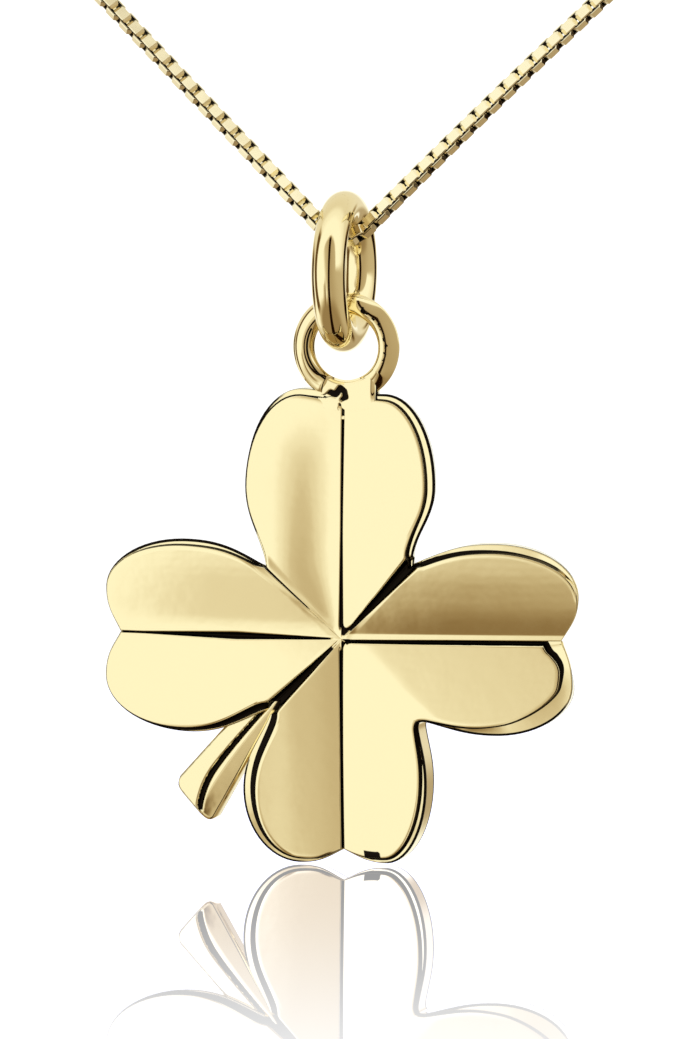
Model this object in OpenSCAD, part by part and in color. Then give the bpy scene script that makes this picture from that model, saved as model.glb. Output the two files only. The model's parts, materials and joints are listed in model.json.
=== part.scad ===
// Four leaf clover pendant that hangs from a jump ring on a fine box chain.
// The origin is the nape of the neck, in the middle of the clasp. +Z is up and -Y is the front.

/* [Leaves] */
// Reach of a full leaf from the centre of the clover
leaf_reach = 9.2; // [8:0.1:12]
// Height of the midribs over the flat back, at the centre
centre_h = 1.25; // [1.1:0.05:1.6]
// Fall of the midribs from the centre to the reach
dome_h = 0.35; // [0.2:0.05:0.45]
// Rise of a half leaf from its midrib to its crest
crest_rise = 0.38; // [0.2:0.02:0.5]
// Distance from a midrib to the crests beside it
crest_w = 2.8; // [2.2:0.1:3.4]
// Height of the rim over the flat back
rim_h = 0.88; // [0.7:0.02:0.96]
// Widest step between the edge of a leaf's face and its outline
step_w = 0.5; // [0.3:0.05:0.6]
// Radius of the rim's outer edge
rim_r = 0.2; // [0.1:0.02:0.26]
// Bevel round the flat back
back_bevel = 0.12; // [0.05:0.01:0.2]
// Width of the cut along each midrib
vein_w = 0.3; // [0.2:0.02:0.5]
// Depth of the cut along each midrib
vein_d = 0.14; // [0.05:0.01:0.25]

/* [Stem] */
// Length of the stem from the centre of the clover
stem_l = 8.5; // [7.5:0.1:9.5]
// Width of the stem's flared end
stem_w = 2; // [1.6:0.1:2.4]
// Height of the stem's ridge over the flat back
stem_h = 1.15; // [1:0.05:1.4]
// Direction of the stem, from the right round through the top
stem_turn = 226; // [222:1:229]

/* [Eyelet] */
// Outer diameter of the eyelet
eyelet_d = 4; // [3.8:0.1:5]
// Diameter of the eyelet's wire
eyelet_wire = 0.78; // [0.6:0.02:0.84]
// Height of the eyelet's middle over the flat back
eyelet_h = 0.75; // [0.6:0.05:0.9]
// How deep the eyelet is sunk in the top leaf
eyelet_sink = 0.4; // [0.3:0.05:0.6]

/* [Jump ring] */
// Outer diameter of the jump ring
bail_d = 6.15; // [5.6:0.05:7]
// Diameter of the jump ring's wire
bail_wire = 1.3; // [1.1:0.05:1.4]
// Running gap between the ring and what it hangs on or carries
ring_gap = 0.12; // [0.1:0.01:0.15]

/* [Chain] */
// Length of the closed necklace
necklace_l = 400; // [360:10:600]
// Width of the chain's square links
chain_w = 0.6; // [0.5:0.05:0.8]
// Length of the clasp
clasp_l = 8; // [6:0.5:12]
// Diameter of the clasp
clasp_d = 2.4; // [1.6:0.1:3.2]
// Gap between the chain's ends and the clasp
clasp_gap = 0.1; // [0.05:0.01:0.2]

/* [Hidden] */
$fn = 48;
gold = [0.88, 0.74, 0.44];

// Leaves. The notch at the tip is a share of the reach, and the step there of the widest step.
LEAF_TURN = 0;
LEAF_TIP = 1;
LEAF_STEP = 2;
LEAVES = [
    [0, 0.918, 0.5],
    [90, 0.985, 0.2],
    [180, 0.956, 0.12],
    [270, 0.914, 0.24]
];

// Forks, where two leaves part. The place is a share of the reach, the step is a share of the
// widest step, the cut is the share of the flank that the groove takes, the depth is a share of
// the height over the rim, and the blend is how far the two faces run into one.
FORK_TURN = 0;
FORK_AT = 1;
FORK_STEP = 2;
FORK_CUT = 3;
FORK_DEPTH = 4;
FORK_BLEND = 5;
FORKS = [
    [46.5, 0.435, 0.3, 0.34, 1, 0],
    [137.5, 0.433, 0.12, 0.08, 0.35, 0.6],
    [225, 0.4, 0.3, 0.26, 1, 0],
    [315, 0.476, 0.2, 0.1, 0, 1]
];

// Half leaves, going round from the right. A side of 1 lies after the midrib and -1 before it.
// The lobe's far point and the side's wide point lie along and across the midrib, in shares of
// the reach. The flank is the angle to the midrib at which the outline leaves the fork.
HALF_LEAF = 0;
HALF_SIDE = 1;
HALF_FORK = 2;
HALF_LOBE = 3;
HALF_WIDE = 4;
HALF_FLANK = 5;
HALF_STEPS = 6;
HALVES = [
    [0, 1, 0, [0.989, 0.184], [0.649, 0.385], 22, [0.24, 0.3]],
    [1, -1, 0, [1.015, 0.175], [0.635, 0.383], 5, [0.4, 0.6]],
    [1, 1, 1, [1.032, 0.179], [0.64, 0.417], 14, [0.5, 0.12]],
    [2, -1, 1, [1.009, 0.184], [0.67, 0.397], 30, [0.1, 0.24]],
    [2, 1, 2, [1.011, 0.175], [0.649, 0.407], 22, [0.12, 0.16]],
    [3, -1, 2, [0.935, 0.179], [0.634, 0.418], 20, [0.24, 0.84]],
    [3, 1, 3, [0.931, 0.184], [0.593, 0.366], 7, [0.3, 0.3]],
    [0, -1, 3, [0.963, 0.188], [0.661, 0.403], 13, [1, 0.7]]
];

// Stations round a half leaf: 0 is the tip's notch, 1 the lobe, 2 the wide point, 3 the fork.
AROUND = [0, 0.12, 0.35, 0.65, 1, 1.25, 1.5, 1.75, 2, 2.25, 2.5];
// Share of the groove's wall in the groove, and how soon the groove has its full depth
groove_wall = 0.3;
groove_run = 1.6;
// Rows of a face, in shares of the way from the centre to the face's edge
FACE_ROWS = [0.12, 0.25, 0.4, 0.55, 0.7, 0.82, 0.92, 1];
// Where the foot of the step lies, in shares of the step
step_foot = 0.82;
// Handles of the outline's curves: round a quarter, and down the flank in shares of its length
quarter_handle = 0.5523;
flank_handle = 0.42;
// Middle of a round corner, in shares of its radius from each side
corner_mid = 1 - sqrt(0.5);

function bez(p, q, r, s, t) =
    (1 - t)^3 * p + 3 * (1 - t)^2 * t * q + 3 * (1 - t) * t^2 * r + t^3 * s;
function bez_way(p, q, r, s, t) =
    (1 - t)^2 * (q - p) + 2 * (1 - t) * t * (r - q) + t^2 * (s - r);

function fork_of(half) = FORKS[half[HALF_FORK]];
function leaf_of(half) = LEAVES[half[HALF_LEAF]];
function fork_angle(half) =
    half[HALF_SIDE] * (fork_of(half)[FORK_TURN] - leaf_of(half)[LEAF_TURN]
        - (half[HALF_LEAF] == 0 && half[HALF_SIDE] == -1 ? 360 : 0));

// The four control points of the piece of outline that starts at station i
function outline_piece(half, i) =
    let (
        tip = [leaf_of(half)[LEAF_TIP], 0],
        lobe = half[HALF_LOBE],
        wide = half[HALF_WIDE],
        a = fork_angle(half),
        fork = fork_of(half)[FORK_AT] * [cos(a), sin(a)],
        round = quarter_handle,
        reach = flank_handle * (wide.x - fork.x),
        flank = half[HALF_FLANK]
    )
    i == 0 ? [tip, [(tip.x + lobe.x) / 2, lobe.y / 3], [lobe.x, lobe.y / 2], lobe] :
    i == 1 ? [lobe, [lobe.x, lobe.y + round * (wide.y - lobe.y)],
        [wide.x + round * (lobe.x - wide.x), wide.y], wide] :
    [wide, [wide.x - reach, wide.y], fork + reach * [cos(flank), sin(flank)], fork];

function outline(half, s) =
    let (i = min(2, floor(s)), p = outline_piece(half, i))
    leaf_reach * bez(p[0], p[1], p[2], p[3], s - i);

// Unit vector that points into the leaf from its outline
function inward(half, s) =
    let (i = min(2, floor(s)), p = outline_piece(half, i), w = bez_way(p[0], p[1], p[2], p[3], s - i))
    s == 0 ? [-1, 0] :
    s == 3 ? -outline(half, s) / norm(outline(half, s)) :
    [-w.y, w.x] / norm(w);

function step_at(half, s) =
    step_w * lookup(s, [[0, leaf_of(half)[LEAF_STEP]], [1, half[HALF_STEPS][0]],
        [2, half[HALF_STEPS][1]], [3, fork_of(half)[FORK_STEP]]]);

// Height of a leaf's face over the flat back, at a point along and across the midrib
function face_height(half, p) =
    let (
        r = norm(p),
        a = atan2(p.y, p.x),
        blend = fork_of(half)[FORK_BLEND],
        across = r * ((1 - blend) * sin(a) + blend * sin(90 * a / fork_angle(half)) / 2) / crest_w,
        cut = max(0, 1 - 2 * abs(p.y) / vein_w)
    )
    centre_h - dome_h * (r / leaf_reach)^2 + crest_rise * across * (2 - across) - vein_d * cut^2;

// Height in the groove between two leaves
function groove_height(half, p) =
    let (
        fork = fork_of(half),
        depth = min(1, groove_run * norm(p) / (fork[FORK_AT] * leaf_reach))
    )
    face_height(half, p) + fork[FORK_DEPTH] * depth * (rim_h - face_height(half, p));

// A groove starts just past the station where its cut begins
function in_groove(half, s) = s > 3 - fork_of(half)[FORK_CUT] + 0.001;

// A point of the clover: along and across a midrib, and its height over the flat back
function clover_point(half, p, h) =
    let (t = leaf_of(half)[LEAF_TURN], v = half[HALF_SIDE] * p.y)
    [p.x * cos(t) - v * sin(t), eyelet_h - h, p.x * sin(t) + v * cos(t)];

// One rib of the clover, from beside the centre over the rim to the edge of the back
function rib(half, s) =
    let (
        edge = outline(half, s),
        into = inward(half, s),
        step = step_at(half, s),
        top = edge + step * into,
        bend = min(rim_r, step / 2)
    )
    concat(
        [for (f = FACE_ROWS)
            clover_point(half, f * top, in_groove(half, s)
                ? groove_height(half, f * top) : face_height(half, f * top))],
        [
            clover_point(half, edge + step_foot * step * into, rim_h),
            clover_point(half, edge + bend * into, rim_h),
            clover_point(half, edge + corner_mid * bend * into, rim_h - corner_mid * rim_r),
            clover_point(half, edge, rim_h - rim_r),
            clover_point(half, edge, back_bevel),
            clover_point(half, edge + back_bevel * into, 0)
        ]
    );

function stations(half) =
    let (cut = fork_of(half)[FORK_CUT])
    concat(AROUND, [2.7 - cut / 3, 3 - cut, 3 - (1 - groove_wall) * cut, 3]);

// The stations of a half leaf in order round the clover, without the one that it shares
function stations_round(half) =
    let (s = stations(half), n = len(s))
    half[HALF_SIDE] == 1 ? [for (i = [0:n - 2]) s[i]] : [for (i = [n - 1:-1:1]) s[i]];

function closed_sweep(rings, n) =
    let (m = len(rings))
    [for (i = [0:m - 1], j = [0:n - 2])
        let (k = (i + 1) % m)
        [i * n + j, k * n + j, k * n + j + 1, i * n + j + 1]];

module leaves() {
    ribs = [for (half = HALVES, s = stations_round(half)) rib(half, s)];
    m = len(ribs);
    n = len(ribs[0]);
    middle = [[0, eyelet_h - centre_h + vein_d, 0], [0, eyelet_h, 0]];
    points = concat([for (r = ribs, p = r) p], middle);
    faces = concat(
        [for (f = closed_sweep(ribs, n)) each [[f[0], f[1], f[2]], [f[0], f[2], f[3]]]],
        [for (i = [0:m - 1]) [m * n, ((i + 1) % m) * n, i * n]],
        [for (i = [0:m - 1]) [m * n + 1, i * n + n - 1, ((i + 1) % m) * n + n - 1]]
    );
    polyhedron(points, faces, convexity = 6);
}

// Solid through a row of rings, with flat ends
module skin(rings) {
    m = len(rings);
    n = len(rings[0]);
    sides = [for (i = [0:m - 2], j = [0:n - 1])
        let (k = (j + 1) % n)
        [i * n + j, (i + 1) * n + j, (i + 1) * n + k, i * n + k]];
    faces = concat(
        [for (f = sides) each [[f[0], f[1], f[2]], [f[0], f[2], f[3]]]],
        [[for (j = [0:n - 1]) j], [for (j = [n - 1:-1:0]) (m - 1) * n + j]]
    );
    polyhedron([for (r = rings, p = r) p], faces, convexity = 6);
}

// Across the stem: place in shares of its half width, height in shares of the ridge's
STEM_ACROSS = [[-1, 0.62], [-0.85, 0.82], [-0.1, 0.96], [0.05, 1], [0.2, 0.74], [0.8, 0.64], [1, 0.5]];
// Along the stem: place in shares of its length, height in shares of the section's
STEM_ALONG = [[0.38, 0.86], [0.5, 0.92], [0.65, 0.97], [0.8, 1], [0.92, 1], [0.975, 0.96], [1, 0.8]];
// Slant of the stem's end over its half width, and its height over the flat back
stem_slant = 0.2;
stem_floor = 0.1;

function stem_point(along, across, h) =
    let (r = along * (stem_l + stem_slant * across), v = along * across * stem_w / 2)
    [r * cos(stem_turn) - v * sin(stem_turn), eyelet_h - h, r * sin(stem_turn) + v * cos(stem_turn)];

module stem() {
    skin([for (a = STEM_ALONG)
        concat(
            [stem_point(a[0], -1, stem_floor), stem_point(a[0], 1, stem_floor)],
            [for (i = [len(STEM_ACROSS) - 1:-1:0])
                stem_point(a[0], STEM_ACROSS[i][0], a[1] * STEM_ACROSS[i][1] * stem_h)]
        )]);
}

// Round wire bent to a ring about the Y axis
module ring(outer_d, wire) {
    rotate([90, 0, 0])
        rotate_extrude()
            translate([(outer_d - wire) / 2, 0])
                circle(d = wire);
}

// The eyelet's centre over the clover's
eyelet_z = leaf_reach * HALVES[2][HALF_LOBE].x + eyelet_d / 2 - eyelet_sink;
// Solder between the eyelet and the top leaf: width, thickness, and how deep it is in both
solder_w = 0.8 * eyelet_d;
solder_t = 0.85 * eyelet_wire;
solder_sink = 0.2;

// Solder that fills the corners between the eyelet's lower arc and the top leaf's lobes
module solder() {
    arc_r = eyelet_d / 2 - solder_sink;
    foot = leaf_reach * LEAVES[1][LEAF_TIP] - solder_sink - eyelet_z;
    arc = [for (a = [210:12:330]) arc_r * [cos(a), sin(a)]];
    rotate([90, 0, 0])
        linear_extrude(solder_t, center = true)
            polygon(concat(arc, [[solder_w / 2, foot], [-solder_w / 2, foot]]));
}

// The chain's loop in plan is a circle. At this slope of its arms at the front, its length is
// loop_stretch times the circle's.
arm_slope = 45;
loop_stretch = 1.1478;
loop_r = necklace_l / (2 * PI * loop_stretch);
loop_drop = loop_r * PI / 2 * tan(arm_slope);
// Radius of a tube with about the square links' section
chain_r = 0.6 * chain_w;
// Radius at which the chain bends under the jump ring's wire, and how far that lifts it
wrap_r = bail_wire / 2 + ring_gap + chain_r;
wrap_lift = (1 / cos(arm_slope) - 1) * wrap_r;
// Lowest point of the chain's middle line
hang = [0, -2 * loop_r, wrap_lift - loop_drop];
bail_r = (bail_d - bail_wire) / 2;
bail_at = hang + [0, 0, wrap_r - bail_r];
eyelet_at = bail_at + [0, 0, bail_wire / 2 + ring_gap - bail_r - (eyelet_d / 2 - eyelet_wire)];
clover_at = eyelet_at - [0, 0, eyelet_z];

module clover() {
    color(gold)
        translate(clover_at)
            union() {
                leaves();
                stem();
                translate([0, 0, eyelet_z]) {
                    ring(eyelet_d, eyelet_wire);
                    solder();
                }
            }
}

module bail() {
    color(gold)
        translate(bail_at)
            rotate([0, 0, 90])
                ring(bail_d, bail_wire);
}

arm_rings = 30;
wrap_rings = 6;
chain_sides = 8;

// A point of the loop: turn goes from 0 at the front to 180 degrees at the nape
function loop_point(turn, side) =
    let (t = turn / 180)
    [side * loop_r * sin(turn), -loop_r * (1 + cos(turn)), loop_drop * (2 * t - t^2 - 1)];

function arm(side) =
    let (
        back = 180 - asin((clasp_l / 2 + clasp_gap) / loop_r),
        front = asin(wrap_r * sin(arm_slope) / loop_r)
    )
    [for (i = [0:arm_rings]) loop_point(back + (front - back) * i / arm_rings, side)];

function chain_route() =
    let (
        wrap = [for (i = [1:wrap_rings - 1])
            let (a = arm_slope * (1 - 2 * i / wrap_rings))
            hang + wrap_r * [sin(a), 0, 1 - cos(a)]],
        left = arm(-1)
    )
    concat(arm(1), wrap, [for (i = [arm_rings:-1:0]) left[i]]);

// One ring of points round a route at point i, square to it
function route_ring(route, i, r, sides) =
    let (
        way = route[min(i + 1, len(route) - 1)] - route[max(i - 1, 0)],
        t = way / norm(way),
        out = [route[i].x, route[i].y + loop_r, 0],
        up = cross(t, out / norm(out)),
        v = up / norm(up),
        u = cross(v, t)
    )
    [for (j = [0:sides - 1])
        let (a = 360 * (j + 0.5) / sides)
        route[i] + r * (cos(a) * u + sin(a) * v)];

module chain() {
    route = chain_route();
    color(gold)
        skin([for (i = [0:len(route) - 1]) route_ring(route, i, chain_r, chain_sides)]);
}

module clasp() {
    color(gold)
        rotate([0, 90, 0])
            union() {
                cylinder(d = clasp_d, h = clasp_l - clasp_d, center = true);
                for (end = [-1, 1])
                    translate([0, 0, end * (clasp_l - clasp_d) / 2])
                        sphere(d = clasp_d);
            }
}

clover();
bail();
chain();
clasp();
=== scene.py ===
import json
import math

import bpy
import numpy as np
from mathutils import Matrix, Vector


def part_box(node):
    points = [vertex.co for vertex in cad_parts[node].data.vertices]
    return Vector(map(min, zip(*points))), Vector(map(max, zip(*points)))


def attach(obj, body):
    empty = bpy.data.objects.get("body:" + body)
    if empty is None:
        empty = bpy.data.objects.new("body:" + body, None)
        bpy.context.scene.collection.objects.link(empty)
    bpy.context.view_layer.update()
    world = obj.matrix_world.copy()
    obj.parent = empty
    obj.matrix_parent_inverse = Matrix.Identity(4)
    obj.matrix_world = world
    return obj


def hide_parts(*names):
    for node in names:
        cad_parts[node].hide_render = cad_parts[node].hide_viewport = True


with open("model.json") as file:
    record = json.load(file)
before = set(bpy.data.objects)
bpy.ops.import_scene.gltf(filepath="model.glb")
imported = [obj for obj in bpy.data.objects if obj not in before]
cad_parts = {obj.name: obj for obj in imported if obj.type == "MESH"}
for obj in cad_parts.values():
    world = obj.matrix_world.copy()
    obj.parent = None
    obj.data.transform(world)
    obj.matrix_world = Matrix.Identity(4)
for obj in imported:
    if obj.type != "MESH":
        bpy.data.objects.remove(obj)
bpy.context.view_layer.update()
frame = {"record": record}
scene = bpy.context.scene
scene.view_settings.view_transform = "Standard"


# Camera
# A long lens a little to the right of the pendant and a little above it, as the photograph was
# taken. The clover's midribs cross at a known place in the picture, and that fixes the framing.
MM = 0.001
PICTURE = (680, 1039)
PX_PER_MM = 26.3
CROSSING_PX = (341, 639)
AZIMUTH = math.radians(14.4)
ELEVATION = math.radians(4.5)
DISTANCE = 0.45
CLIP_END = 10

eyelet_d = 4 * MM
eyelet_over_leaves = 11.0944 * MM
crossing_front = 0.5 * MM

bail_low, bail_high = (np.array(corner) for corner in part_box("bail"))
bail_centre = (bail_low + bail_high) / 2
clover_low, clover_high = (np.array(corner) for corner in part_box("clover"))
eyelet_centre = np.array([0, bail_centre[1], clover_high[2] - eyelet_d / 2])
clover_centre = eyelet_centre - [0, 0, eyelet_over_leaves]

to_camera = Vector((
    math.sin(AZIMUTH) * math.cos(ELEVATION),
    -math.cos(AZIMUTH) * math.cos(ELEVATION),
    math.sin(ELEVATION),
))
picture_right = Vector((math.cos(AZIMUTH), math.sin(AZIMUTH), 0))
picture_up = to_camera.cross(picture_right)


def aim_camera():
    """Puts the lens on the line through the middle of the picture, square to it."""
    lens = bpy.data.cameras.new("camera")
    camera = bpy.data.objects.new("camera", lens)
    scene.collection.objects.link(camera)
    crossing = Vector(clover_centre) - Vector((0, crossing_front, 0))
    right = (PICTURE[0] / 2 - CROSSING_PX[0]) / PX_PER_MM * MM
    up = (CROSSING_PX[1] - PICTURE[1] / 2) / PX_PER_MM * MM
    target = crossing + right * picture_right + up * picture_up
    camera.location = target + DISTANCE * to_camera
    camera.rotation_mode = "QUATERNION"
    camera.rotation_quaternion = to_camera.to_track_quat("Z", "Y")
    field = PICTURE[1] / PX_PER_MM * MM
    lens.lens = lens.sensor_width * DISTANCE / field
    lens.clip_end = CLIP_END
    scene.camera = camera


aim_camera()


# Studio
# A white tent open to the right, with tan paper below, narrow black cards at the sides and the
# slit that the lens looks through. Polished gold shows little but these. The floor is glossy white.
WHITE = (1, 1, 1, 1)

# Brightness of the tent from its left to its right, and of its roof from the back to the front, as
# places from 0 to 1 and levels. The shades of the tent lean to the left as they go up.
TENT = [(0.0, 1.0), (0.25, 1.0), (0.286, 0.87), (0.316, 0.77),
        (0.351, 0.63), (0.386, 0.56), (0.6, 0.44), (1.0, 0.55)]
tent_lean = 0.35
ROOF = [(0.1, 0.8), (0.35, 0.76), (0.5, 0.92), (0.65, 1.0)]
ROOF_COVER = dict(above=(-0.05, 0.1), ahead=(0.72, 0.62))

# Each card: its brightness, and what it covers across, above and ahead, all from -1 to 1. Three
# numbers are the start, end and softness of a band, and two the start and end of a soft edge.
LOW_CARDS = {
    "grey, low on the left": (0.76, dict(above=(-0.28, -0.36), across=(-0.58, -0.4, 0.03))),
    "dark, beside it": (0.25, dict(above=(-0.08, -0.5), across=(-0.46, -0.32, 0.04))),
}
BEHIND = dict(ahead=(-0.8, -0.45, 0.04), above=(-0.28, 0.18, 0.1))
CARDS = {
    "black, behind on the right": (0.01, dict(BEHIND, across=(0.0, 0.1))),
    "black, behind on the left": (0.06, dict(BEHIND, across=(0.0, -0.1))),
    "white, straight behind": (1.0, dict(ahead=(-0.9, -0.94))),
    "dark strip on the left": (0.12, dict(ahead=(-0.26, 0.1, 0.05), across=(-0.7, -0.85))),
    "tan paper below": (0.3, dict(above=(-0.5, -0.8))),
}
SLIT_COVER = dict(across=(-0.07, 0.16, 0.02), ahead=(-0.35, -0.2))
slit_light = 0.01
TENT_GAINS = (1.04, 1.035, 0.94)
TENT_POWERS = (1.0, 1.28, 1.75)

FLOOR_GAP = 0.05 * MM
FLOOR_SIZE = 3.0
FLOOR_GLOSS = (1.3, 1.35, 1.95, 1)
floor_glow = 1.15
floor_roughness = 0.01
floor_ior = 1.5
GLOSSY_TO = 5 * MM
PLAIN_FROM = 100 * MM
gloss_gain = 1.3


def wire(tree, target, value):
    """Links a socket, or sets a plain value."""
    if isinstance(value, bpy.types.NodeSocket):
        tree.links.new(value, target)
    else:
        target.default_value = value


def node(tree, kind, **inputs):
    """A new node, with inputs linked or set by name, where an underscore stands for a space."""
    made = tree.nodes.new("ShaderNode" + kind)
    for name, value in inputs.items():
        wire(tree, made.inputs[name.replace("_", " ")], value)
    return made


def maths(tree, operation, *values):
    """The result of an operation on numbers."""
    made = node(tree, "Math")
    made.operation = operation
    for socket, value in zip(made.inputs, values):
        wire(tree, socket, value)
    return made.outputs[0]


def measure(tree, operation, vector, other):
    """One number from two vectors, such as their dot product or their distance."""
    made = node(tree, "VectorMath")
    made.operation = operation
    wire(tree, made.inputs[0], vector)
    made.inputs[1].default_value = other
    return made.outputs["Value"]


def ease(tree, value, start, end, low=0.0, high=1.0):
    """Goes smoothly from low at start to high at end."""
    made = node(tree, "MapRange", Value=value, From_Min=start, From_Max=end, To_Min=low, To_Max=high)
    made.interpolation_type = "SMOOTHSTEP"
    return made.outputs["Result"]


def band(tree, value, start, end, soft):
    """One between start and end, and nothing outside, with soft edges."""
    rise = ease(tree, value, start - soft, start + soft)
    fall = ease(tree, value, end - soft, end + soft, 1.0, 0.0)
    return maths(tree, "MULTIPLY", rise, fall)


def covered(tree, ways, cover):
    """The share of a card in each direction: the product of its bands and its soft edges."""
    share = 1.0
    for way, bounds in cover.items():
        part = band if len(bounds) == 3 else ease
        share = maths(tree, "MULTIPLY", share, part(tree, ways[way], *bounds))
    return share


def ramp(tree, value, stops):
    """A grey ramp through places and levels, for a value from -1 to 1."""
    made = node(tree, "ValToRGB", Fac=maths(tree, "MULTIPLY_ADD", value, 0.5, 0.5))
    made.color_ramp.interpolation = "EASE"
    keys = made.color_ramp.elements
    while len(keys) < len(stops):
        keys.new(0.5)
    for key, (place, level) in zip(keys, stops):
        key.position = place
        key.color = (level, level, level, 1.0)
    return made.outputs["Color"]


def blend(tree, share, a, b):
    """The number a, or b where share is 1."""
    return node(tree, "Mix", Factor=share, A=a, B=b).outputs["Result"]


def choose(tree, share, a, b):
    """The shader a, or b where share is 1."""
    made = node(tree, "MixShader")
    for socket, value in zip(made.inputs, (share, a.outputs[0], b.outputs[0])):
        wire(tree, socket, value)
    return made.outputs[0]


def light_the_tent():
    """The brightness of the tent in each direction, and its colour: the darker it is, the warmer."""
    world = bpy.data.worlds.new("studio")
    scene.world = world
    world.use_nodes = True
    tree = world.node_tree
    tree.nodes.clear()
    way = node(tree, "TexCoord").outputs["Generated"]
    axes = dict(across=picture_right, above=picture_up, ahead=to_camera)
    ways = {name: measure(tree, "DOT_PRODUCT", way, axis) for name, axis in axes.items()}
    tent = ramp(tree, maths(tree, "MULTIPLY_ADD", ways["above"], tent_lean, ways["across"]), TENT)
    for light, cover in LOW_CARDS.values():
        tent = blend(tree, covered(tree, ways, cover), tent, light)
    overhead = covered(tree, ways, ROOF_COVER)
    tent = blend(tree, overhead, tent, ramp(tree, ways["ahead"], ROOF))
    for light, cover in CARDS.values():
        tent = blend(tree, covered(tree, ways, cover), tent, light)
    under_roof = maths(tree, "SUBTRACT", 1.0, overhead)
    slit = maths(tree, "MULTIPLY", covered(tree, ways, SLIT_COVER), under_roof)
    tent = blend(tree, slit, tent, slit_light)
    colour = node(tree, "CombineColor")
    for socket, gain, power in zip(colour.inputs, TENT_GAINS, TENT_POWERS):
        wire(tree, socket, maths(tree, "MULTIPLY", maths(tree, "POWER", tent, power), gain))
    seen = node(tree, "Background", Color=WHITE)
    lit = node(tree, "Background", Color=colour.outputs[0])
    by_lens = node(tree, "LightPath").outputs["Is Camera Ray"]
    node(tree, "OutputWorld", Surface=choose(tree, by_lens, lit, seen))


def add_mesh(name, points, faces, material, painted_shade=None, flat=False):
    """A mesh object at the origin from points in metres, with optional painted shade on each point."""
    mesh = bpy.data.meshes.new(name)
    mesh.from_pydata(points.reshape(-1, 3).tolist(), [], [f for group in faces for f in group.tolist()])
    if not flat:
        mesh.shade_smooth()
    if painted_shade is not None:
        tag = mesh.attributes.new("painted_shade", "FLOAT", "POINT")
        tag.data.foreach_set("value", painted_shade.ravel().astype(np.float32))
    mesh.materials.append(material)
    mesh.update()
    thing = bpy.data.objects.new(name, mesh)
    scene.collection.objects.link(thing)
    return thing


def lay_floor():
    """A square of glossy white just under the clover, whose gloss fades away from it."""
    material = bpy.data.materials.new("floor")
    material.use_nodes = True
    tree = material.node_tree
    tree.nodes.clear()
    glow = node(tree, "Emission", Color=WHITE, Strength=floor_glow)
    gloss = node(tree, "BsdfGlossy", Color=FLOOR_GLOSS, Roughness=floor_roughness)
    place = node(tree, "TexCoord").outputs["Object"]
    away = measure(tree, "DISTANCE", place, clover_centre)
    near = ease(tree, away, GLOSSY_TO, PLAIN_FROM, gloss_gain, 0.0)
    share = maths(tree, "MULTIPLY", node(tree, "Fresnel", IOR=floor_ior).outputs[0], near)
    node(tree, "OutputMaterial", Surface=choose(tree, share, glow, gloss))
    half = FLOOR_SIZE / 2
    z = clover_low[2] - FLOOR_GAP
    corners = np.array([(-half, -half, z), (half, -half, z), (half, half, z), (-half, half, z)])
    floor = add_mesh("floor", corners, [np.array([(0, 1, 2, 3)])], material, flat=True)
    floor.visible_glossy = False
    floor.visible_diffuse = False
    floor.visible_shadow = False


light_the_tent()
lay_floor()


# The cuts, the step, the rim's edge, the side and the back edge are darkened with painted shade.
# Leaves
# The clover is one casting. Each half leaf rises from its midrib like the side of a valley, the
# face ends in a step, and a lower rim runs round it. The midribs and two of the forks are cut deep.
# Lengths are in mm.
leaf_reach = 9.2
centre_h = 1.25
crest_w = 2.8
level_bend = 0.02
MIDDLE_R = 3.5
FADE_FROM_TO = (0.72, 0.97)
ridge_slope = 0.11
edge_roll = 0.02
edge_roll_w = 0.12
ROLL_FROM_TO = (0.03, 0.12)
back_hollow = 0.3
back_to_eyelet = 0.75

# Each leaf: turn in degrees, tip in shares of the reach, fall to the tip, widths of the vein, which is
# cut and darkened with painted shade, near the centre, half way and at the tip, its depth, and how
# far its middle lies off the midrib.
LEAVES = {
    "right": dict(turn=0.6, tip=0.93, fall=0.2, vein=(0.16, 0.21, 0.22), vein_d=0.14, off=-0.1),
    "top": dict(turn=90, tip=0.985, fall=0.35, vein=(0.2, 0.11, 0.13), vein_d=0.08, off=0.0),
    "left": dict(turn=179.5, tip=0.956, fall=0.35, vein=(0.08, 0.34, 0.1), vein_d=0.12, off=0.0),
    "bottom": dict(turn=270, tip=0.877, fall=0.35, vein=(0.18, 0.14, 0.14), vein_d=0.09, off=0.0),
}

# Each fork: turn in degrees, place in shares of the reach, how far its corner is filled, half width
# and depth of its groove there, and how far out the groove's painted shade begins and is full. A fork
# that is a rounded ridge has the share of the angle where its faces begin to meet, and the width of
# the rounding.
FORKS = {
    "upper_right": dict(turn=46.5, at=0.435, fillet=0, groove_w=0.28, groove_d=0.4,
                        dark_from=(0.35, 0.6), meet=0, round_w=0),
    "upper_left": dict(turn=137.5, at=0.433, fillet=0.05, groove_w=0.05, groove_d=0.03,
                       dark_from=(1.2, 2.2), meet=0.87, round_w=0.3),
    "lower_left": dict(turn=225, at=0.41, fillet=0, groove_w=0.27, groove_d=0.36,
                       dark_from=(0.35, 0.6), meet=0, round_w=0),
    "lower_right": dict(turn=315, at=0.462, fillet=0.15, groove_w=0, groove_d=0,
                        dark_from=(0, 0), meet=0.8, round_w=0.8),
}
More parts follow.
